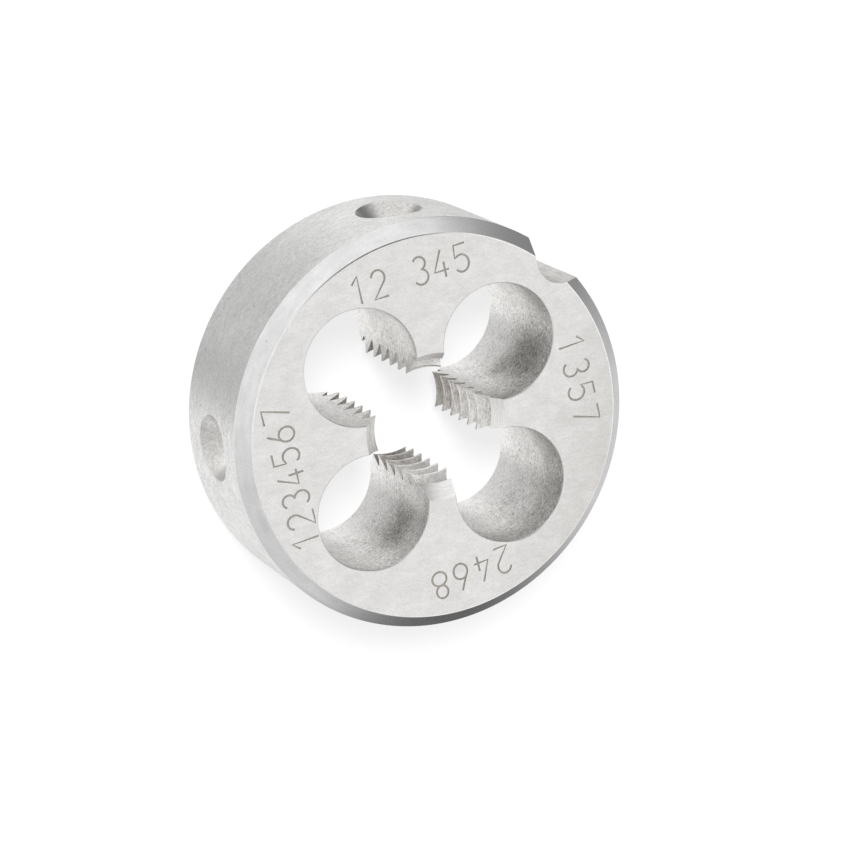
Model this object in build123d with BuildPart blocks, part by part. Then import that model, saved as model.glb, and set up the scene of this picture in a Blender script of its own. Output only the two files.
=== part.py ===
"""Round threading die for M10 x 1.5, lying on its back face with the marked face up.

Millimetres. The origin is the centre of the back face, and +Z is the thread's axis.
"""

from build123d import *
import os
from math import ceil, radians, sin, tan

os.makedirs("parts", exist_ok=True)

# The turned blank
outside_diameter = 30.0
thickness = 11.0
front_chamfer = 1.0
back_chamfer = 0.7

# The metric thread in the lands, which they cut on the work
thread_diameter = 10.0
thread_pitch = 1.5
thread_angle = 60.0
thread_start_angle = 165.0

# The cones that let the work into the thread from either face
lead_in_diameter = 10.8
lead_in_half_angle = 40.0

# The chip holes, which leave the lands between them
chip_hole_count = 4
chip_hole_diameter = 8.5
chip_hole_pitch_diameter = 15.1
chip_hole_edge_break = 0.1

# The groove down the rim, in line with the first chip hole, where the die may be split
groove_web = 1.35
groove_angle = 90.0
groove_bottom_radius = 2.0

# The dimples that the screws of a die holder press into
dimple_count = 4
dimple_diameter = 5.2
dimple_angle = 90.0
dimple_tip_radius = 0.7

# Sizes that follow from those above
outside_radius = outside_diameter / 2
first_hole_angle = 180 / chip_hole_count
major_radius = thread_diameter / 2
root_flat = thread_pitch / 8
flank_slope = tan(radians(thread_angle / 2))
# A sharp profile is cut off by a sixth of its height at the crests and an eighth at the roots
ridge_height = thread_pitch / 2 / flank_slope * (1 - 1 / 6 - 1 / 8)
crest_radius = major_radius - ridge_height

with BuildPart() as thread_cut:
    # What the tap takes out: a core as wide as the crests, with a right-hand ridge round it.
    # It starts a turn below the back face and has whole turns, the last one past the marked face.
    start_height = -thread_pitch
    cut_height = (ceil(thickness / thread_pitch) + 2) * thread_pitch
    with Locations((0, 0, start_height)):
        Cylinder(
            radius=crest_radius,
            height=cut_height,
            align=(Align.CENTER, Align.CENTER, Align.MIN),
        )
    # The foot of the ridge is sunk a little into the core
    sink = thread_pitch / 10
    ridge_foot = root_flat + 2 * (ridge_height + sink) * flank_slope
    with BuildLine():
        turns = Helix(
            pitch=thread_pitch,
            height=cut_height,
            radius=crest_radius,
            center=(0, 0, start_height),
        )
    with BuildSketch(Plane(origin=turns @ 0, x_dir=(1, 0, 0), z_dir=turns % 0)):
        with BuildLine():
            Polyline(
                (-sink, -ridge_foot / 2),
                (ridge_height, -root_flat / 2),
                (ridge_height, root_flat / 2),
                (-sink, ridge_foot / 2),
                close=True,
            )
        make_face()
    sweep(path=turns, is_frenet=True)

with BuildPart() as dimple:
    # A blind cone with a rounded tip, its mouth on the rim at +X
    half_angle = radians(dimple_angle / 2)
    tip_distance = outside_radius - dimple_diameter / 2 / tan(half_angle)
    end_distance = outside_radius + dimple_diameter / 2
    with BuildSketch(Plane.XZ):
        with BuildLine():
            tip = CenterArc(
                center=(tip_distance + dimple_tip_radius / sin(half_angle), 0),
                radius=dimple_tip_radius,
                start_angle=180,
                arc_size=dimple_angle / 2 - 90,
            )
            Polyline(
                tip @ 1,
                (end_distance, (end_distance - tip_distance) * tan(half_angle)),
                (end_distance, 0),
                tip @ 0,
            )
        make_face()
    revolve(axis=Axis.X)

with BuildPart() as die_body:
    # The turned blank
    with BuildSketch(Plane.XZ):
        with BuildLine():
            Polyline(
                (0, 0),
                (outside_radius - back_chamfer, 0),
                (outside_radius, back_chamfer),
                (outside_radius, thickness - front_chamfer),
                (outside_radius - front_chamfer, thickness),
                (0, thickness),
                close=True,
            )
        make_face()
    revolve(axis=Axis.Z)

    # Chip holes, drilled through and eased at both faces
    with PolarLocations(chip_hole_pitch_diameter / 2, chip_hole_count, start_angle=first_hole_angle):
        Hole(radius=chip_hole_diameter / 2, depth=2 * thickness)
    rims = edges().filter_by(GeomType.CIRCLE).filter_by(
        lambda edge: abs(edge.radius - chip_hole_diameter / 2) < 0.001
    )
    chamfer(rims, length=chip_hole_edge_break)

    # The groove, a V with a round bottom that leaves a thin web to the chip hole
    groove_slope = tan(radians(groove_angle / 2))
    bottom_distance = (chip_hole_pitch_diameter + chip_hole_diameter) / 2 + groove_web
    sharp_depth = groove_bottom_radius / sin(radians(groove_angle / 2)) - groove_bottom_radius
    apex_distance = bottom_distance - sharp_depth
    past_rim = outside_radius + groove_bottom_radius
    with BuildSketch(Plane.XY.rotated((0, 0, first_hole_angle))):
        with BuildLine():
            Polyline(
                (apex_distance, 0),
                (past_rim, (past_rim - apex_distance) * groove_slope),
                (past_rim, -(past_rim - apex_distance) * groove_slope),
                close=True,
            )
        make_face()
        fillet(vertices().sort_by_distance((0, 0, 0))[0], radius=groove_bottom_radius)
    extrude(amount=thickness, mode=Mode.SUBTRACT)

    # The dimples, half way between one chip hole and the next
    with Locations((0, 0, thickness / 2)):
        with PolarLocations(0, dimple_count):
            add(dimple.part, mode=Mode.SUBTRACT)

    # The thread, cut through the four lands
    add(thread_cut.part, rotation=(0, 0, thread_start_angle), mode=Mode.SUBTRACT)

    # The lead-in cone at each face, which thins the first threads away
    lead_in_height = lead_in_diameter / 2 / tan(radians(lead_in_half_angle))
    with Locations((0, 0, 0), Location((0, 0, thickness), (180, 0, 0))):
        Cone(
            bottom_radius=lead_in_diameter / 2,
            top_radius=0,
            height=lead_in_height,
            align=(Align.CENTER, Align.CENTER, Align.MIN),
            mode=Mode.SUBTRACT,
        )

die_body.part.label = "die_body"
export_step(die_body.part, "parts/die_body.step")
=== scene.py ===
# Round threading die, M10 x 1.5: its looks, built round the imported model.
# The die lies on its back face with the marked face up, as it would on a bench.
import math
import bpy
from mathutils import Matrix, Vector


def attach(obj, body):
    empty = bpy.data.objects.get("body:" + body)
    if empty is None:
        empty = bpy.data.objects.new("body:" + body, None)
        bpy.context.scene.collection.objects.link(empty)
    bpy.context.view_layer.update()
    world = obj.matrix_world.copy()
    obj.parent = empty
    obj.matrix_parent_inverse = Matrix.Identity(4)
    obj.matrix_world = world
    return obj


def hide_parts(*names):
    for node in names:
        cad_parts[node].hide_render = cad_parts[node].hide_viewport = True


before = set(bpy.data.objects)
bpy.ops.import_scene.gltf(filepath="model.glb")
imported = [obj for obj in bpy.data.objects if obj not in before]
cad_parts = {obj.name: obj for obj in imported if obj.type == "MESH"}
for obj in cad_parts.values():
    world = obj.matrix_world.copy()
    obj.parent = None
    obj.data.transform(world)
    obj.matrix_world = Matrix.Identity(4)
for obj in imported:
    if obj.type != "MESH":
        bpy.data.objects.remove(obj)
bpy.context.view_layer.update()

scene = bpy.context.scene
scene.view_settings.view_transform = "Standard"
mm = 0.001


def linearColour(hexCode):
    # an sRGB hex code as linear RGBA, which is what the shaders take
    parts = [int(hexCode[i:i + 2], 16) / 255 for i in (1, 3, 5)]
    return (*[c / 12.92 if c <= 0.04045 else ((c + 0.055) / 1.055) ** 2.4 for c in parts], 1.0)


def addNode(tree, kind, inputs=None, **settings):
    # adds a node with its settings; an input is given a plain value, a datablock, another node's
    # output, or a node, which stands for its first output
    node = tree.nodes.new(kind)
    for key, value in settings.items():
        setattr(node, key, value)
    for key, value in (inputs or {}).items():
        if isinstance(value, bpy.types.Node):
            value = value.outputs[0]
        if isinstance(value, bpy.types.NodeSocket):
            tree.links.new(value, node.inputs[key])
        else:
            node.inputs[key].default_value = value
    return node


def newObject(name, mesh):
    obj = bpy.data.objects.new(name, mesh)
    scene.collection.objects.link(obj)
    return obj


def direction(azimuth, elevation):
    # a unit vector from degrees round from +X and degrees above the bench
    az, el = math.radians(azimuth), math.radians(elevation)
    return Vector((math.cos(el) * math.cos(az), math.cos(el) * math.sin(az), math.sin(el)))


print("helpers ready")

# The camera stands where the photographer's did
cameraSettings = {
    "aim": (1.036, -1.140, 6.276),    # mm, where the lens axis passes the die's centre
    "distance": 245.63,               # mm from there
    "azimuth": 142.68,                # degrees round from +X
    "elevation": 62.89,               # degrees above the bench
    "roll": 119.25,                   # degrees, the photographer's turn of the frame
    "lens": 143.49,                   # mm on a frame as wide as the next value
    "frameWidth": 36,
    "clip": (0.005, 10),              # m
}


def makeCamera(s):
    back = direction(s["azimuth"], s["elevation"])
    level = Vector((0, 0, 1)).cross(back).normalized()
    rise = back.cross(level)
    turn = math.radians(s["roll"])
    right = level * math.cos(turn) + rise * math.sin(turn)
    up = back.cross(right)
    data = bpy.data.cameras.new("camera")
    data.lens = s["lens"]
    data.sensor_width = s["frameWidth"]
    data.clip_start, data.clip_end = s["clip"]
    camera = newObject("camera", data)
    place = Matrix((right, up, back)).transposed().to_4x4()
    place.translation = (Vector(s["aim"]) + back * s["distance"]) * mm
    camera.matrix_world = place
    scene.camera = camera


makeCamera(cameraSettings)
print("camera placed")

# The die's finishes: one bare, oil-wiped tool steel, so they differ in how each surface was cut.
# A tone runs from dark to light over the surface, and the roughness with it, from high to low.
# A layer of it is soft noise: its size in mm, its stretch along three axes (a small number draws
# it out into streaks), and its share. The axes are x, y, z, or r, x, y where the work was turned.
# Brushed is how much further the steel's gloss spreads up and down than round.
# A painted shade sinks the tone, or lifts it where it is painted light, along a direction or the
# radius: from where to where in mm, and by how much at each end. A painted spot does the same
# round a point: the point, how far it reaches in mm, and by how much at its middle, which is less
# than 0 for a painted highlight.
# Pits are the share of places that have one, and pitSize is how far apart those places are in mm.
finishSettings = {
    # ground and lapped flat: pale and even, a faint mottle under fine grit marks, and painted shade
    # that makes it a little duller towards +X
    "lappedFaceSteel": {
        "dark": "#d5d2cf", "light": "#f3f3f2", "roughness": (0.30, 0.44), "contrast": 1.0,
        "brushed": 0.0, "turned": False, "bumpDepth": 0.0016, "pits": 0.0, "pitSize": 0.45,
        "layers": [(1.7, (1, 1, 1), 0.25), (0.30, (0.4, 1, 1), 0.25), (0.10, (1, 1, 1), 0.50)],
        "paintedShades": [((0.94, -0.34, 0), 7.0, 14.0, 0.0, 0.28)],
        "paintedSpots": [],
    },
    # centreless ground: short streaks round the rim, brighter and duller by turns
    "groundRimSteel": {
        "dark": "#c4c3c2", "light": "#fdfdfc", "roughness": (0.27, 0.40), "contrast": 1.6,
        "brushed": 0.4, "turned": False, "bumpDepth": 0.0030, "pits": 0.04, "pitSize": 0.4,
        "layers": [(2.4, (1, 1, 2), 0.15), (0.14, (0.30, 0.30, 1), 0.40),
                   (0.10, (0.8, 0.8, 1), 0.45)],
        "paintedShades": [],
        "paintedSpots": [],
    },
    # turned with a pointed tool: rings about the axis, smooth and pale
    "turnedChamferSteel": {
        "dark": "#d9d9d9", "light": "#f6f6f6", "roughness": (0.22, 0.32), "contrast": 1.0,
        "brushed": 0.0, "turned": True, "bumpDepth": 0.0014, "pits": 0.015, "pitSize": 0.35,
        "layers": [(0.07, (1, 0.03, 0.03), 0.45), (0.12, (0.6, 0.6, 0.6), 0.25),
                   (1.5, (1, 1, 1), 0.30)],
        "paintedShades": [],
        "paintedSpots": [],
    },
    # the corners of the two faces, rubbed bright by handling: a hair-thin glint on one side
    "burnishedEdgeSteel": {
        "dark": "#e4e2e0", "light": "#ffffff", "roughness": (0.14, 0.24), "contrast": 1.2,
        "brushed": 0.0, "turned": False, "bumpDepth": 0.0008, "pits": 0.0, "pitSize": 0.4,
        "layers": [(0.8, (1, 1, 1), 0.40), (0.12, (1, 1, 1), 0.60)],
        "paintedShades": [],
        "paintedSpots": [],
    },
    # drilled and reamed, then hardened: grainy, streaked round each hole, pitted here and there;
    # painted shade dulls it towards the marked face, more on the +X side, and painted light
    # brightens it towards the back face; painted dark reflections lie in two of the holes, and a
    # painted highlight in a third
    "reamedHoleSteel": {
        "dark": "#7f7a74", "light": "#fffefc", "roughness": (0.36, 0.50), "contrast": 1.65,
        "brushed": 0.4, "turned": False, "bumpDepth": 0.0055, "pits": 0.14, "pitSize": 0.38,
        "layers": [(1.3, (1, 1, 1), 0.10), (0.09, (0.32, 0.32, 1), 0.42), (0.07, (1, 1, 1), 0.48)],
        "paintedShades": [((0.25, 0, 1), 8.0, 12.5, -0.20, 0.12), ((0, 0, 1), 0.0, 5.5, -0.22, 0.0)],
        "paintedSpots": [((8.9, 3.0, 7.0), 3.5, 0.48), ((7.7, 1.8, 5.4), 1.7, 0.22),
                   ((-2.1, -8.1, 7.3), 3.4, 0.42), ((-1.7, 7.4, 10.0), 4.0, -0.25)],
    },
    # tapped: torn a little along the flanks, so fine lines follow the thread; painted shade makes it
    # duller at its roots and deep in the bore, and painted light brighter at its crests and near the
    # marked face
    "tappedThreadSteel": {
        "dark": "#a7a19a", "light": "#fffefc", "roughness": (0.26, 0.42), "contrast": 1.5,
        "brushed": 0.0, "turned": True, "bumpDepth": 0.0040, "pits": 0.36, "pitSize": 0.28,
        "layers": [(0.09, (1, 0.25, 0.25), 0.40), (0.09, (1, 1, 1), 0.40), (0.7, (1, 1, 1), 0.20)],
        "paintedShades": [("radius", 4.15, 4.9, -0.10, 0.15), ((0, 0, 1), 0.5, 9.0, 0.42, -0.12)],
        "paintedSpots": [],
    },
    # countersunk: bright rings where the cones let the work in
    "countersunkLeadSteel": {
        "dark": "#edebe9", "light": "#ffffff", "roughness": (0.20, 0.32), "contrast": 1.3,
        "brushed": 0.0, "turned": True, "bumpDepth": 0.0020, "pits": 0.04, "pitSize": 0.35,
        "layers": [(0.09, (1, 0.05, 0.05), 0.60), (0.10, (1, 1, 1), 0.25), (0.9, (1, 1, 1), 0.15)],
        "paintedShades": [],
        "paintedSpots": [],
    },
    # milled along the die: fine lines from face to face, and painted shade darker towards the bottom
    "milledGrooveSteel": {
        "dark": "#aba7a2", "light": "#efedea", "roughness": (0.26, 0.40), "contrast": 1.2,
        "brushed": 0.0, "turned": False, "bumpDepth": 0.0020, "pits": 0.04, "pitSize": 0.4,
        "layers": [(0.10, (1, 1, 0.06), 0.45), (0.10, (1, 1, 1), 0.35), (0.9, (1, 1, 1), 0.20)],
        "paintedShades": [("radius", 13.1, 14.4, 0.35, 0.0)],
        "paintedSpots": [],
    },
    # drilled to a point: finely grained, with painted highlights in the +Y and -X ones, and painted
    # shade at the +X end of the +Y one
    "drilledDimpleSteel": {
        "dark": "#b4b1ad", "light": "#f4f3f1", "roughness": (0.24, 0.36), "contrast": 1.2,
        "brushed": 0.0, "turned": False, "bumpDepth": 0.0032, "pits": 0.05, "pitSize": 0.28,
        "layers": [(0.12, (0.5, 0.5, 1), 0.40), (0.09, (1, 1, 1), 0.50), (1.2, (1, 1, 1), 0.10)],
        "paintedShades": [],
        "paintedSpots": [((-1.9, 14.4, 3.9), 1.6, -0.40), ((2.2, 14.6, 5.5), 1.1, 0.45),
                   ((-13.9, -1.1, 5.3), 1.6, -0.60)],
    },
    # burnt in by laser: a matt grey-brown line, rough at the scale of the beam's pulses
    "etchedMarkSteel": {
        "dark": "#99938c", "light": "#c3bdb5", "roughness": (0.45, 0.60), "contrast": 1.0,
        "brushed": 0.0, "turned": False, "bumpDepth": 0.0030, "pits": 0.0, "pitSize": 0.4,
        "layers": [(0.12, (1, 1, 1), 0.70), (0.8, (1, 1, 1), 0.30)],
        "paintedShades": [],
        "paintedSpots": [],
    },
}

# What all the finishes share
grainSettings = {
    "middle": 0.5, "halfRange": 0.22,             # of the noise, dark to light, at a contrast of 1
    "detail": 2.0, "roughness": 0.6,
    "step": 7.3, "offset": (2.1, 5.7),            # keep one layer's noise clear of the next one's
    "ringClimb": 0.8,                             # turned rings climb with z, so cylinders show them too
    "pitColour": "#4e4843", "pitShade": 0.55,
    "pitRadii": (0.10, 0.24),                     # where a pit is whole and where it ends, in pitSizes
}


def grainTone(tree, axes, s, g):
    # the layers of soft noise, added up
    tone = 0.0
    halfRange = g["halfRange"] / s["contrast"]
    for number, (size, stretch, share) in enumerate(s["layers"]):
        spread = addNode(tree, "ShaderNodeVectorMath", {
            0: axes, 1: [a / size for a in stretch]}, operation="MULTIPLY")
        shifted = addNode(tree, "ShaderNodeVectorMath", {
            0: spread, 1: (g["step"] * number, *g["offset"])}, operation="ADD")
        noise = addNode(tree, "ShaderNodeTexNoise", {
            "Vector": shifted, "Scale": 1.0, "Detail": g["detail"], "Roughness": g["roughness"]})
        stretched = addNode(tree, "ShaderNodeMapRange", {
            "Value": noise, "From Min": g["middle"] - halfRange, "From Max": g["middle"] + halfRange})
        tone = addNode(tree, "ShaderNodeMath", {
            0: stretched, 1: share, 2: tone}, operation="MULTIPLY_ADD")
    return tone


def paintLightAndShade(tree, tone, place, radius, s):
    # painted light and shade over the grain: first the painted shades, then the painted spots
    sinks = []
    for axis, start, end, atStart, atEnd in s["paintedShades"]:
        along = radius
        if axis != "radius":
            along = addNode(tree, "ShaderNodeVectorMath", {
                0: place, 1: axis}, operation="DOT_PRODUCT").outputs["Value"]
        sinks.append((along, start, end, atStart, atEnd))
    for centre, reach, depth in s["paintedSpots"]:
        away = addNode(tree, "ShaderNodeVectorMath", {
            0: place, 1: centre}, operation="DISTANCE").outputs["Value"]
        sinks.append((away, 0.0, reach, depth, 0.0))
    for value, start, end, atStart, atEnd in sinks:
        sunk = addNode(tree, "ShaderNodeMapRange", {
            "Value": value, "From Min": start, "From Max": end,
            "To Min": atStart, "To Max": atEnd}, interpolation_type="SMOOTHSTEP")
        tone = addNode(tree, "ShaderNodeMath", {0: tone, 1: sunk}, operation="SUBTRACT")
    return tone


def makeSteel(name, s, g):
    material = bpy.data.materials.new(name)
    material.use_nodes = True
    tree = material.node_tree
    bsdf = tree.nodes["Principled BSDF"]
    bsdf.inputs["Metallic"].default_value = 1
    bsdf.inputs["Anisotropic"].default_value = s["brushed"]

    # the place on the die in mm, and its distance from the axis
    place = addNode(tree, "ShaderNodeVectorMath", {
        0: addNode(tree, "ShaderNodeTexCoord").outputs["Object"], "Scale": 1 / mm}, operation="SCALE")
    x, y, z = addNode(tree, "ShaderNodeSeparateXYZ", {0: place}).outputs
    squares = [addNode(tree, "ShaderNodeMath", {0: part, 1: part}, operation="MULTIPLY")
               for part in (x, y)]
    squared = addNode(tree, "ShaderNodeMath", dict(enumerate(squares)), operation="ADD")
    radius = addNode(tree, "ShaderNodeMath", {0: squared}, operation="SQRT")
    axes = place
    if s["turned"]:
        rings = addNode(tree, "ShaderNodeMath", {
            0: z, 1: g["ringClimb"], 2: radius}, operation="MULTIPLY_ADD")
        axes = addNode(tree, "ShaderNodeCombineXYZ", {0: rings, 1: x, 2: y})

    tone = paintLightAndShade(tree, grainTone(tree, axes, s, g), place, radius, s)
    colour = addNode(tree, "ShaderNodeMix", {
        "Factor": tone, 6: linearColour(s["dark"]), 7: linearColour(s["light"])},
        data_type="RGBA").outputs[2]
    height = tone
    if s["pits"]:
        # small dark pits, some way apart
        cells = addNode(tree, "ShaderNodeTexVoronoi", {"Vector": place, "Scale": 1 / s["pitSize"]})
        chance = addNode(tree, "ShaderNodeSeparateColor", {0: cells.outputs["Color"]})
        chosen = addNode(tree, "ShaderNodeMath", {0: chance, 1: s["pits"]}, operation="LESS_THAN")
        whole, end = g["pitRadii"]
        inside = addNode(tree, "ShaderNodeMapRange", {
            "Value": cells.outputs["Distance"], "From Min": whole, "From Max": end,
            "To Min": 1.0, "To Max": 0.0})
        pit = addNode(tree, "ShaderNodeMath", {0: inside, 1: chosen}, operation="MULTIPLY")
        shade = addNode(tree, "ShaderNodeMath", {0: pit, 1: g["pitShade"]}, operation="MULTIPLY")
        colour = addNode(tree, "ShaderNodeMix", {
            "Factor": shade, 6: colour, 7: linearColour(g["pitColour"])},
            data_type="RGBA").outputs[2]
        height = addNode(tree, "ShaderNodeMath", {0: tone, 1: pit}, operation="SUBTRACT")
    smooth, rough = s["roughness"]
    gloss = addNode(tree, "ShaderNodeMapRange", {"Value": tone, "To Min": rough, "To Max": smooth})
    bump = addNode(tree, "ShaderNodeBump", {
        "Height": height, "Strength": 1.0, "Distance": s["bumpDepth"] * mm})
    tree.links.new(colour, bsdf.inputs["Base Color"])
    tree.links.new(gloss.outputs[0], bsdf.inputs["Roughness"])
    tree.links.new(bump.outputs[0], bsdf.inputs["Normal"])
    if s["brushed"]:
        # the streaks run round, so they spread what the steel mirrors up and down
        upright = addNode(tree, "ShaderNodeCombineXYZ", {2: 1.0})
        tree.links.new(upright.outputs[0], bsdf.inputs["Tangent"])
    return material


finishes = {name: makeSteel(name, s, grainSettings) for name, s in finishSettings.items()}
print("finishes made:", len(finishes))

# The die: sizes in mm, and angles in degrees. An overrun is how far a cutter goes past the metal.
blankSettings = {
    "radius": 15.0, "thickness": 11.0, "frontChamfer": 1.0, "backChamfer": 0.7,
    "edgeEase": 0.05, "rimEdgeEase": 0.03, "coreRadius": 2.5, "segments": 256,
}
holeSettings = {
    "count": 4, "radius": 4.25, "circleRadius": 7.55, "firstAngle": 45.0,
    "edgeBreak": 0.1, "edgeCrown": (0.4, 0.35),    # the edge break bulges through this share of itself
    "overrun": 1.0, "segments": 112,
}
dimpleSettings = {
    "count": 4, "mouthRadius": 2.6, "halfAngle": 45.0, "tipRadius": 0.7, "tipSteps": 5,
    "overrun": 1.5, "segments": 96,
}
grooveSettings = {
    "angle": 45.0, "bottomDistance": 13.15, "bottomRadius": 2.0, "halfAngle": 45.0, "arcSteps": 12,
    "overrun": 1.0, "rimOverrun": 2.0,
}
threadSettings = {
    "pitch": 1.5, "rootRadius": 5.0, "crestRadius": 4.08, "rootFlat": 0.1875, "flankAngle": 30.0,
    "sink": 0.15, "startAngle": 165.0, "extraTurns": 2, "stepsPerTurn": 180,
    "leadInRadius": 5.4, "leadInHalfAngle": 40.0, "overrun": 1.0, "segments": 180,
}
markSettings = {
    "height": 2.03, "width": 1.12, "distance": 10.42, "strokeWidth": 0.16, "depth": 0.03,
    "bottomShare": 0.6, "topShare": 1.3,    # the stroke's width at its bottom, and above the face
    "arcStep": 15,                          # degrees
    # plain numbers in straight rows: the text, the way that its figures' heads point, and where
    # along the row its first and last figures stand
    "rows": [("12 345", 97.3, -3.6, 4.4), ("2468", 280.0, -2.35, 2.75),
             ("1234567", 187.8, -4.85, 4.8), ("1357", 8.0, -2.6, 2.9)],
}
lappingSettings = {
    "leastUpright": 0.999,     # how level a facet is, 1 for one that lies flat
    "leastHeight": 0.4999,     # how far it is from mid thickness, as a share of the thickness
}
crispAngle = 14                # degrees, past which two facets meet in a sharp edge
onAxis = 1e-9                  # mm, under which a ring about the axis is one point


def easeCorners(profile):
    # a profile point is (r, z, ease, finish of the eased edge, finish of the side that starts there)
    done = []
    count = len(profile)
    for i, (r, z, ease, edgeFinish, finish) in enumerate(profile):
        if not ease:
            done.append((r, z, finish))
            continue
        before, after = Vector(profile[i - 1][:2]), Vector(profile[(i + 1) % count][:2])
        corner = Vector((r, z))
        start = corner + (before - corner).normalized() * ease
        end = corner + (after - corner).normalized() * ease
        done.append((start.x, start.y, edgeFinish))
        done.append((end.x, end.y, finish))
    return done


def finishedMesh(name, verts, faces, kinds):
    mesh = bpy.data.meshes.new(name)
    mesh.from_pydata(verts, [], faces)
    used = sorted(set(kinds))
    for finish in used:
        mesh.materials.append(finishes[finish])
    mesh.polygons.foreach_set("material_index", [used.index(k) for k in kinds])
    mesh.validate()
    return mesh


def latheMesh(name, profile, segments):
    # turns a closed profile of (r, z, finish) about Z, counted anticlockwise in the (r, z) plane
    verts, faces, kinds, rings = [], [], [], []
    for r, z, finish in profile:
        if r < onAxis:
            rings.append([len(verts)] * segments)
            verts.append((0, 0, z))
            continue
        rings.append(range(len(verts), len(verts) + segments))
        for k in range(segments):
            a = 2 * math.pi * k / segments
            verts.append((r * math.cos(a), r * math.sin(a), z))
    for i, (r, _, finish) in enumerate(profile):
        following = (i + 1) % len(profile)
        if r < onAxis and profile[following][0] < onAxis:
            continue
        here, there = rings[i], rings[following]
        for k in range(segments):
            m = (k + 1) % segments
            corners = [here[k], here[m], there[m], there[k]]
            faces.append([c for j, c in enumerate(corners) if c not in corners[:j]])
            kinds.append(finish)
    return finishedMesh(name, verts, faces, kinds)


def blankMesh(s):
    radius, top, core = s["radius"], s["thickness"], s["coreRadius"]
    front, back = s["frontChamfer"], s["backChamfer"]
    ease, rimEase = s["edgeEase"], s["rimEdgeEase"]
    profile = [
        (core, 0, 0, None, "lappedFaceSteel"),
        (radius - back, 0, ease, "burnishedEdgeSteel", "turnedChamferSteel"),
        (radius, back, ease, "groundRimSteel", "groundRimSteel"),
        (radius, top - front, rimEase, "turnedChamferSteel", "turnedChamferSteel"),
        (radius - front, top, ease, "burnishedEdgeSteel", "lappedFaceSteel"),
        (core, top, 0, None, "lappedFaceSteel"),
    ]
    return latheMesh("blank", easeCorners(profile), s["segments"])


def holeDrill(s, thickness):
    # the wall, with an edge break at each face that bulges a little
    r, e, over = s["radius"], s["edgeBreak"], s["overrun"]
    out, down = s["edgeCrown"]
    edge = [(r + e + over, -over), (r + e, 0), (r + e * out, e * down), (r, e)]
    sides = ["turnedChamferSteel"] * (len(edge) - 1) + ["reamedHoleSteel"]
    profile = [(0, -over, "reamedHoleSteel")]
    profile += [(x, z, side) for (x, z), side in zip(edge, sides)]
    profile += [(x, thickness - z, side) for (x, z), side in zip(reversed(edge), sides)]
    profile.append((0, thickness + over, "reamedHoleSteel"))
    return latheMesh("holeDrill", profile, s["segments"])


def dimpleDrill(s, rim):
    # its axis is Z here, and its tip points down; the tree turns it outwards
    half, tipRadius = math.radians(s["halfAngle"]), s["tipRadius"]
    tip = rim - s["mouthRadius"] / math.tan(half)
    centre = tip + tipRadius / math.sin(half)
    profile = [(0, centre - tipRadius)]
    for i in range(1, s["tipSteps"] + 1):
        a = (math.pi / 2 - half) * i / s["tipSteps"]
        profile.append((tipRadius * math.sin(a), centre - tipRadius * math.cos(a)))
    end = rim + s["overrun"]
    profile += [((end - tip) * math.tan(half), end), (0, end)]
    return latheMesh("dimpleDrill", [(*p, "drilledDimpleSteel") for p in profile], s["segments"])


def grooveCutter(s, rim, thickness):
    # a V with a round bottom, as long as the die is thick
    half, bottomRadius = math.radians(s["halfAngle"]), s["bottomRadius"]
    centre = s["bottomDistance"] + bottomRadius
    sweep = math.pi / 2 - half
    outline = []
    for i in range(s["arcSteps"] + 1):
        a = math.pi - sweep + 2 * sweep * i / s["arcSteps"]
        outline.append((centre + bottomRadius * math.cos(a), bottomRadius * math.sin(a)))
    end = rim + s["rimOverrun"]
    x, y = outline[-1]
    outline.append((end, y - (end - x) * math.tan(half)))
    outline.append((end, -y + (end - x) * math.tan(half)))
    turn = Matrix.Rotation(math.radians(s["angle"]), 3, "Z")
    count = len(outline)
    ends = (-s["overrun"], thickness + s["overrun"])
    verts = [turn @ Vector((*p, z)) for z in ends for p in outline]
    faces = [list(range(count - 1, -1, -1)), list(range(count, 2 * count))]
    for i in range(count):
        j = (i + 1) % count
        faces.append([i, j, count + j, count + i])
    return finishedMesh("grooveCutter", verts, faces, ["milledGrooveSteel"] * len(faces))


def coreDrill(s, thickness):
    # the bore at the crests, and the lead-in cone at each face
    crest, mouth, over = s["crestRadius"], s["leadInRadius"], s["overrun"]
    slope = math.tan(math.radians(s["leadInHalfAngle"]))
    depth = (mouth - crest) / slope
    wide = mouth + over * slope
    bore, cone = "tappedThreadSteel", "countersunkLeadSteel"
    profile = [
        (0, -over, bore), (wide, -over, cone), (crest, depth, bore),
        (crest, thickness - depth, cone), (wide, thickness + over, bore), (0, thickness + over, bore),
    ]
    return latheMesh("coreDrill", profile, s["segments"])


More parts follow.
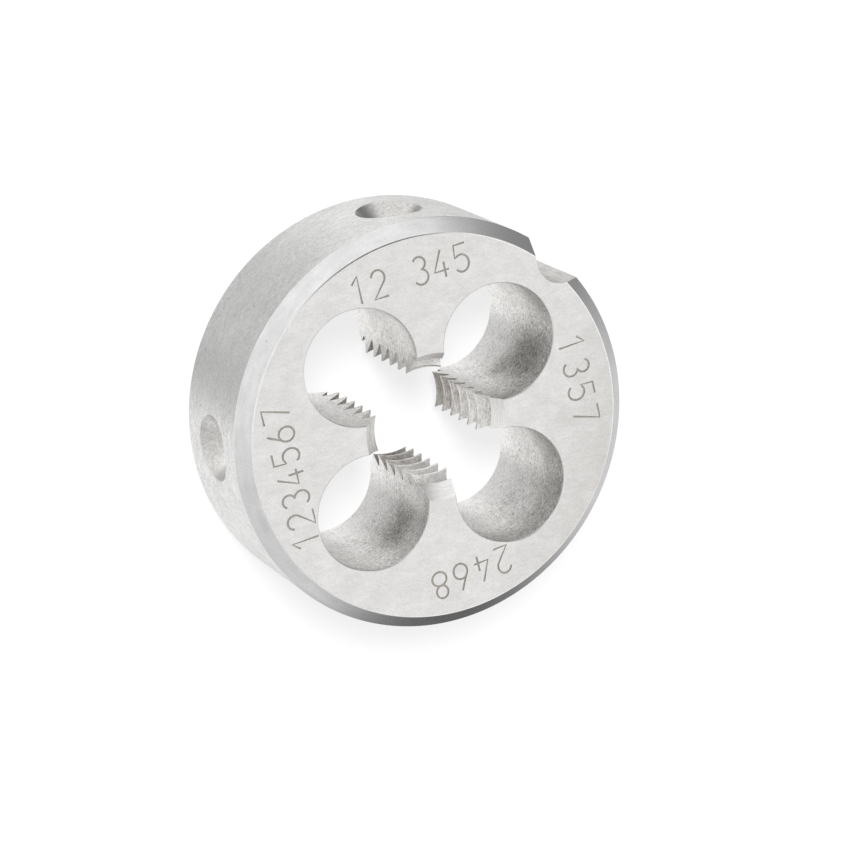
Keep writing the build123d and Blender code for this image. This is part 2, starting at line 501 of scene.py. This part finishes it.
def figureStrokes(figure, arcStep):
    # a plain figure one unit high, as strokes of points and of arcs (cx, cy, rx, ry, from, to)
    shapes = {
        "1": [[(-0.36, 0.74), (0.08, 1), (0.08, 0)]],
        "2": [[(0, 0.72, 0.46, 0.28, 165, -30), (-0.46, 0), (0.5, 0)]],
        "3": [[(0, 0.76, 0.42, 0.24, 150, -75), (0, 0.27, 0.48, 0.27, 80, -150)]],
        "4": [[(0.12, 1), (-0.5, 0.26), (0.5, 0.26)], [(0.22, 0.56), (0.22, 0)]],
        "5": [[(0.42, 1), (-0.36, 1), (-0.42, 0.54), (-0.02, 0.31, 0.5, 0.31, 118, -145)]],
        "6": [[(0.16, 1), (-0.36, 0.46)], [(0, 0.29, 0.48, 0.29, 0, 360), "close"]],
        "7": [[(-0.48, 1), (0.48, 1), (-0.16, 0)]],
        "8": [[(0, 0.76, 0.4, 0.24, 0, 360), "close"], [(0, 0.26, 0.5, 0.26, 0, 360), "close"]],
    }
    strokes = []
    for stroke in shapes[figure]:
        closed = stroke[-1] == "close"
        points = []
        for item in stroke[:-1] if closed else stroke:
            if len(item) == 2:
                points.append(item)
                continue
            cx, cy, rx, ry, start, stop = item
            steps = int(abs(stop - start) / arcStep)
            for i in range(steps + 1):
                a = math.radians(start + (stop - start) * i / steps)
                points.append((cx + rx * math.cos(a), cy + ry * math.sin(a)))
        if closed:
            # the first point stands where the last one does
            points = points[1:]
        strokes.append((points, closed))
    return strokes


def markMesh(s, faceHeight):
    verts, edges = [], []
    for text, heading, first, last in s["rows"]:
        outward = direction(heading, 0)
        along = Vector((outward.y, -outward.x, 0))
        for place, figure in enumerate(text):
            if figure == " ":
                continue
            offset = first + (last - first) * place / (len(text) - 1)
            base = outward * s["distance"] + along * offset + Vector((0, 0, faceHeight))
            for points, closed in figureStrokes(figure, s["arcStep"]):
                start = len(verts)
                for x, y in points:
                    verts.append(base + outward * y * s["height"] + along * x * s["width"])
                edges += [(i, i + 1) for i in range(start, len(verts) - 1)]
                if closed:
                    edges.append((len(verts) - 1, start))
    mesh = bpy.data.meshes.new("marks")
    mesh.from_pydata(verts, edges, [])
    return mesh


def sweptTool(tree, path, corners, finish):
    # a four-cornered section run along a path; a corner is a size and its factor across, then up
    points = {}
    for number, (across, acrossFactor, up, upFactor) in enumerate(corners, 1):
        x = addNode(tree, "ShaderNodeMath", {0: across, 1: acrossFactor}, operation="MULTIPLY")
        y = addNode(tree, "ShaderNodeMath", {0: up, 1: upFactor}, operation="MULTIPLY")
        points[f"Point {number}"] = addNode(tree, "ShaderNodeCombineXYZ", {0: x, 1: y})
    section = addNode(tree, "GeometryNodeCurvePrimitiveQuadrilateral", points, mode="POINTS")
    level = addNode(tree, "GeometryNodeSetCurveNormal", {"Curve": path}, mode="Z_UP")
    tool = addNode(tree, "GeometryNodeCurveToMesh", {
        "Curve": level, "Profile Curve": section, "Fill Caps": True})
    return addNode(tree, "GeometryNodeSetMaterial", {"Geometry": tool, "Material": finish})


def dieTree(mark, lapping):
    # the order of work on the real die: drill, dimple, groove, tap, mark, and lap the faces last
    tree = bpy.data.node_groups.new("dieBody", "GeometryNodeTree")
    inputs = {
        "NodeSocketGeometry": ["Geometry"],
        "NodeSocketObject": ["Hole drill", "Dimple drill", "Groove cutter", "Core drill", "Marks"],
        "NodeSocketInt": ["Holes", "Dimples", "Turns", "Steps per turn"],
        "NodeSocketFloat": ["Hole circle radius", "First hole angle", "Thickness", "Pitch",
                            "Crest radius", "Root radius", "Root flat", "Ridge foot", "Sink",
                            "Start angle", "Stroke width", "Mark depth"],
        "NodeSocketMaterial": ["Thread finish", "Mark finish", "Face finish"],
    }
    for kind, names in inputs.items():
        for name in names:
            tree.interface.new_socket(name, in_out="INPUT", socket_type=kind)
    tree.interface.new_socket("Geometry", in_out="OUTPUT", socket_type="NodeSocketGeometry")
    given = addNode(tree, "NodeGroupInput").outputs
    shapes = {
        name: addNode(tree, "GeometryNodeObjectInfo", {"Object": given[name]}).outputs["Geometry"]
        for name in inputs["NodeSocketObject"]
    }
    halves = {
        name: addNode(tree, "ShaderNodeMath", {0: given[name], 1: 2.0}, operation="DIVIDE")
        for name in ("Thickness", "Ridge foot", "Root flat", "Stroke width")
    }

    # the chip holes, on their circle
    angle = addNode(tree, "ShaderNodeMath", {0: given["First hole angle"]}, operation="RADIANS")
    ring = addNode(tree, "GeometryNodeMeshCircle", {
        "Vertices": given["Holes"], "Radius": given["Hole circle radius"]})
    ring = addNode(tree, "GeometryNodeTransform", {
        "Geometry": ring, "Rotation": addNode(tree, "ShaderNodeCombineXYZ", {2: angle})})
    holes = addNode(tree, "GeometryNodeInstanceOnPoints", {
        "Points": ring, "Instance": shapes["Hole drill"]})
    holes = addNode(tree, "GeometryNodeRealizeInstances", {0: holes})

    # the dimples, which face outwards at mid thickness; a ring of 1 mm gives them their directions,
    # and the drill is moved back by as much
    ring = addNode(tree, "GeometryNodeMeshCircle", {"Vertices": given["Dimples"], "Radius": 1.0})
    outward = addNode(tree, "FunctionNodeAlignRotationToVector", {
        "Vector": addNode(tree, "GeometryNodeInputPosition")}, axis="Z")
    centred = addNode(tree, "GeometryNodeTransform", {
        "Geometry": shapes["Dimple drill"], "Translation": (0, 0, -1)})
    dimples = addNode(tree, "GeometryNodeInstanceOnPoints", {
        "Points": ring, "Instance": centred, "Rotation": outward})
    lift = addNode(tree, "ShaderNodeCombineXYZ", {2: halves["Thickness"]})
    dimples = addNode(tree, "GeometryNodeTransform", {"Geometry": dimples, "Translation": lift})
    dimples = addNode(tree, "GeometryNodeRealizeInstances", {0: dimples})

    # the tap: a 60 degree ridge that runs round in whole turns, from a turn below the back face to
    # past the marked one, on its core. The spiral is reversed for a right-hand thread, and then the
    # section's across points outwards.
    rise = addNode(tree, "ShaderNodeMath", {0: given["Pitch"], 1: given["Turns"]}, operation="MULTIPLY")
    spiral = addNode(tree, "GeometryNodeCurveSpiral", {
        "Resolution": given["Steps per turn"], "Rotations": given["Turns"],
        "Start Radius": given["Crest radius"], "End Radius": given["Crest radius"],
        "Height": rise, "Reverse": True})
    tall = addNode(tree, "ShaderNodeMath", {
        0: given["Root radius"], 1: given["Crest radius"]}, operation="SUBTRACT")
    ridge = sweptTool(tree, spiral, [
        (given["Sink"], -1.0, halves["Ridge foot"], -1.0), (tall, 1.0, halves["Root flat"], -1.0),
        (tall, 1.0, halves["Root flat"], 1.0), (given["Sink"], -1.0, halves["Ridge foot"], 1.0),
    ], given["Thread finish"])
    below = addNode(tree, "ShaderNodeMath", {0: given["Pitch"], 1: -1.0}, operation="MULTIPLY")
    angle = addNode(tree, "ShaderNodeMath", {0: given["Start angle"]}, operation="RADIANS")
    ridge = addNode(tree, "GeometryNodeTransform", {
        "Geometry": ridge, "Translation": addNode(tree, "ShaderNodeCombineXYZ", {2: below}),
        "Rotation": addNode(tree, "ShaderNodeCombineXYZ", {2: angle})})
    tap = addNode(tree, "GeometryNodeMeshBoolean", {
        "Mesh 2": shapes["Core drill"]}, operation="UNION", solver="MANIFOLD")
    tree.links.new(ridge.outputs[0], tap.inputs["Mesh 2"])

    body = given["Geometry"]
    for cutter in (holes, dimples, shapes["Groove cutter"], tap):
        body = addNode(tree, "GeometryNodeMeshBoolean", {
            "Mesh 1": body, "Mesh 2": cutter}, operation="DIFFERENCE", solver="MANIFOLD")

    # the marks: a shallow tool, narrower at its bottom, run along each stroke
    half, deep = halves["Stroke width"], given["Mark depth"]
    bottom, top = mark["bottomShare"], mark["topShare"]
    strokes = addNode(tree, "GeometryNodeMeshToCurve", {"Mesh": shapes["Marks"]})
    marks = sweptTool(tree, strokes, [
        (half, -bottom, deep, -1.0), (half, bottom, deep, -1.0),
        (half, top, deep, 1.0), (half, -top, deep, 1.0),
    ], given["Mark finish"])
    body = addNode(tree, "GeometryNodeMeshBoolean", {
        "Mesh 1": body, "Mesh 2": marks, "Self Intersection": True},
        operation="DIFFERENCE", solver="EXACT")

    # everything so far is in millimetres, and the frame is in metres
    body = addNode(tree, "GeometryNodeTransform", {"Geometry": body, "Scale": (mm, mm, mm)})
    body = addNode(tree, "GeometryNodeRealizeInstances", {0: body})

    # the two flat faces are lapped last: what is level, and as far from mid thickness as they are
    normal = addNode(tree, "GeometryNodeInputNormal").outputs["True Normal"]
    upright = addNode(tree, "ShaderNodeSeparateXYZ", {0: normal}).outputs[2]
    upright = addNode(tree, "ShaderNodeMath", {0: upright}, operation="ABSOLUTE")
    position = addNode(tree, "GeometryNodeInputPosition")
    height = addNode(tree, "ShaderNodeSeparateXYZ", {0: position}).outputs[2]
    middle, least = [
        addNode(tree, "ShaderNodeMath", {0: given["Thickness"], 1: share * mm}, operation="MULTIPLY")
        for share in (0.5, lapping["leastHeight"])]
    away = addNode(tree, "ShaderNodeMath", {0: height, 1: middle}, operation="SUBTRACT")
    away = addNode(tree, "ShaderNodeMath", {0: away}, operation="ABSOLUTE")
    onFace = addNode(tree, "ShaderNodeMath", {0: away, 1: least}, operation="GREATER_THAN")
    flat = addNode(tree, "ShaderNodeMath", {
        0: upright, 1: lapping["leastUpright"]}, operation="GREATER_THAN")
    lapped = addNode(tree, "ShaderNodeMath", {0: onFace, 1: flat}, operation="MULTIPLY")
    body = addNode(tree, "GeometryNodeSetMaterial", {
        "Geometry": body, "Selection": lapped, "Material": given["Face finish"]})
    addNode(tree, "NodeGroupOutput", {0: body})
    return tree


def makeDie(blank, hole, dimple, groove, thread, mark, lapping):
    top, rim, pitch = blank["thickness"], blank["radius"], thread["pitch"]
    crest, root, sink = thread["crestRadius"], thread["rootRadius"], thread["sink"]
    cutters = {
        "Hole drill": newObject("holeDrill", holeDrill(hole, top)),
        "Dimple drill": newObject("dimpleDrill", dimpleDrill(dimple, rim)),
        "Groove cutter": newObject("grooveCutter", grooveCutter(groove, rim, top)),
        "Core drill": newObject("coreDrill", coreDrill(thread, top)),
        "Marks": newObject("marks", markMesh(mark, top)),
    }
    slope = math.tan(math.radians(thread["flankAngle"]))
    values = {
        **cutters,
        "Holes": hole["count"], "Hole circle radius": hole["circleRadius"],
        "First hole angle": hole["firstAngle"], "Dimples": dimple["count"], "Thickness": top,
        "Turns": math.ceil(top / pitch) + thread["extraTurns"],
        "Steps per turn": thread["stepsPerTurn"], "Start angle": thread["startAngle"],
        "Pitch": pitch, "Crest radius": crest, "Root radius": root,
        "Root flat": thread["rootFlat"], "Sink": sink,
        "Ridge foot": thread["rootFlat"] + 2 * (root - crest + sink) * slope,
        "Stroke width": mark["strokeWidth"], "Mark depth": mark["depth"],
        "Thread finish": finishes["tappedThreadSteel"], "Mark finish": finishes["etchedMarkSteel"],
        "Face finish": finishes["lappedFaceSteel"],
    }
    source = newObject("blank", blankMesh(blank))
    modifier = source.modifiers.new("work", "NODES")
    modifier.node_group = dieTree(mark, lapping)
    for item in modifier.node_group.interface.items_tree:
        if item.in_out == "INPUT" and item.name in values:
            modifier[item.identifier] = values[item.name]
    depsgraph = bpy.context.evaluated_depsgraph_get()
    mesh = bpy.data.meshes.new_from_object(source.evaluated_get(depsgraph), depsgraph=depsgraph)
    for obj in [source, *cutters.values()]:
        bpy.data.objects.remove(obj)
    mesh.name = "threadingDie"
    return newObject("threadingDie", mesh)


def shadeByZone(mesh, angle):
    # smooth within a turned or drilled surface, and crisp where two of them meet; the thread's
    # facets are small enough to stay flat
    for polygon in mesh.polygons:
        finish = mesh.materials[polygon.material_index].name
        polygon.use_smooth = finish not in ("tappedThreadSteel", "countersunkLeadSteel")
    mesh.set_sharp_from_angle(angle=math.radians(angle))
    owners = {}
    for polygon in mesh.polygons:
        for key in polygon.edge_keys:
            owners.setdefault(key, set()).add(polygon.material_index)
    for edge in mesh.edges:
        if len(owners.get(tuple(edge.key), ())) > 1:
            edge.use_edge_sharp = True


die = makeDie(blankSettings, holeSettings, dimpleSettings, grooveSettings, threadSettings,
              markSettings, lappingSettings)
shadeByZone(die.data, crispAngle)
print("die made:", len(die.data.polygons), "faces,", [m.name for m in die.data.materials])
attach(die, "root")
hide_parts("die_body")

# The bench and the light: a white sweep all round, with a few dark cards that give the steel its
# form. The floor's size is in m, the angles are in degrees, and the bench's glow is the share of
# it that the camera sees as pure white.
stageSettings = {"floorSize": 1.2, "paper": "#bdbdbd", "glowShare": 0.79}
windowSettings = {"azimuth": 120, "elevation": 58, "strength": 6.5, "spread": 16}
surroundSettings = {
    "level": 1.0,
    # a card's azimuth and elevation, the half angles of its dark middle and of its soft edge, and
    # how much of the light it takes
    "cards": [
        (-76, -24, 1, 39, 0.91), (30, -16, 1, 49, 0.80), (138, -63, 3, 34, 0.38),
        (-38, -17, 14, 42, 0.30), (-125, 20, 10, 55, 0.29), (66, 63, 5, 25, 0.85),
        (179, -63, 1, 11, 0.55), (170, 28, 6, 38, 0.12),
    ],
}


def makeSurround(s):
    # the brightness of the studio in a direction
    tree = bpy.data.node_groups.new("studioSurround", "ShaderNodeTree")
    tree.interface.new_socket("Direction", in_out="INPUT", socket_type="NodeSocketVector")
    tree.interface.new_socket("Strength", in_out="OUTPUT", socket_type="NodeSocketFloat")
    given = addNode(tree, "NodeGroupInput").outputs
    unit = addNode(tree, "ShaderNodeVectorMath", {0: given[0]}, operation="NORMALIZE")
    strength = s["level"]
    for azimuth, elevation, middle, edge, depth in s["cards"]:
        facing = addNode(tree, "ShaderNodeVectorMath", {
            0: unit, 1: direction(azimuth, elevation)}, operation="DOT_PRODUCT").outputs["Value"]
        left = addNode(tree, "ShaderNodeMapRange", {
            "Value": facing, "From Min": math.cos(math.radians(edge)),
            "From Max": math.cos(math.radians(middle)), "To Min": 1.0, "To Max": 1.0 - depth},
            interpolation_type="SMOOTHSTEP")
        strength = addNode(tree, "ShaderNodeMath", {0: left, 1: strength}, operation="MULTIPLY")
    addNode(tree, "NodeGroupOutput", {0: strength})
    return tree


def makeFloor(s):
    # white paper to the camera, with the die's shadow on it; the steel sees the sweep through it
    half = s["floorSize"] / 2
    corners = [(-half, -half, 0), (half, -half, 0), (half, half, 0), (-half, half, 0)]
    mesh = bpy.data.meshes.new("floor")
    mesh.from_pydata(corners, [], [(0, 1, 2, 3)])
    newObject("floor", mesh)
    material = bpy.data.materials.new("paleBenchPaper")
    material.use_nodes = True
    tree = material.node_tree
    tree.nodes.clear()
    ray = addNode(tree, "ShaderNodeLightPath").outputs
    paper = addNode(tree, "ShaderNodeBsdfDiffuse", {"Color": linearColour(s["paper"])})
    glow = addNode(tree, "ShaderNodeEmission", {"Color": (1, 1, 1, 1), "Strength": 1.0})
    clear = addNode(tree, "ShaderNodeBsdfTransparent")
    share = addNode(tree, "ShaderNodeMath", {
        0: ray["Is Camera Ray"], 1: s["glowShare"]}, operation="MULTIPLY")
    seen = addNode(tree, "ShaderNodeMixShader", {0: share, 1: paper, 2: glow})
    whole = addNode(tree, "ShaderNodeMixShader", {0: ray["Is Glossy Ray"], 1: seen, 2: clear})
    addNode(tree, "ShaderNodeOutputMaterial", {"Surface": whole})
    mesh.materials.append(material)


def makeWorld(surround):
    # the surround lights the die and shows in it, and the camera sees plain white
    world = bpy.data.worlds.new("studio")
    scene.world = world
    world.use_nodes = True
    tree = world.node_tree
    background = tree.nodes["Background"]
    background.inputs["Color"].default_value = (1, 1, 1, 1)
    ray = addNode(tree, "ShaderNodeLightPath").outputs
    around = addNode(tree, "ShaderNodeGroup", node_tree=surround)
    tree.links.new(addNode(tree, "ShaderNodeTexCoord").outputs["Generated"], around.inputs[0])
    level = addNode(tree, "ShaderNodeMix", {
        "Factor": ray["Is Camera Ray"], 2: around, 3: 1.0}, data_type="FLOAT")
    tree.links.new(level.outputs[0], background.inputs["Strength"])


def makeWindow(s):
    # a broad soft light for the die's faint shadow on the bench; it shows in no gloss, where the
    # steel mirrors the sweep and the cards instead
    data = bpy.data.lights.new("window", "SUN")
    data.energy = s["strength"]
    data.angle = math.radians(s["spread"])
    lamp = newObject("window", data)
    towards = direction(s["azimuth"], s["elevation"])
    lamp.rotation_euler = towards.to_track_quat("Z", "Y").to_euler()
    lamp.visible_glossy = False


makeWindow(windowSettings)
makeFloor(stageSettings)
makeWorld(makeSurround(surroundSettings))
print("floor and light made")
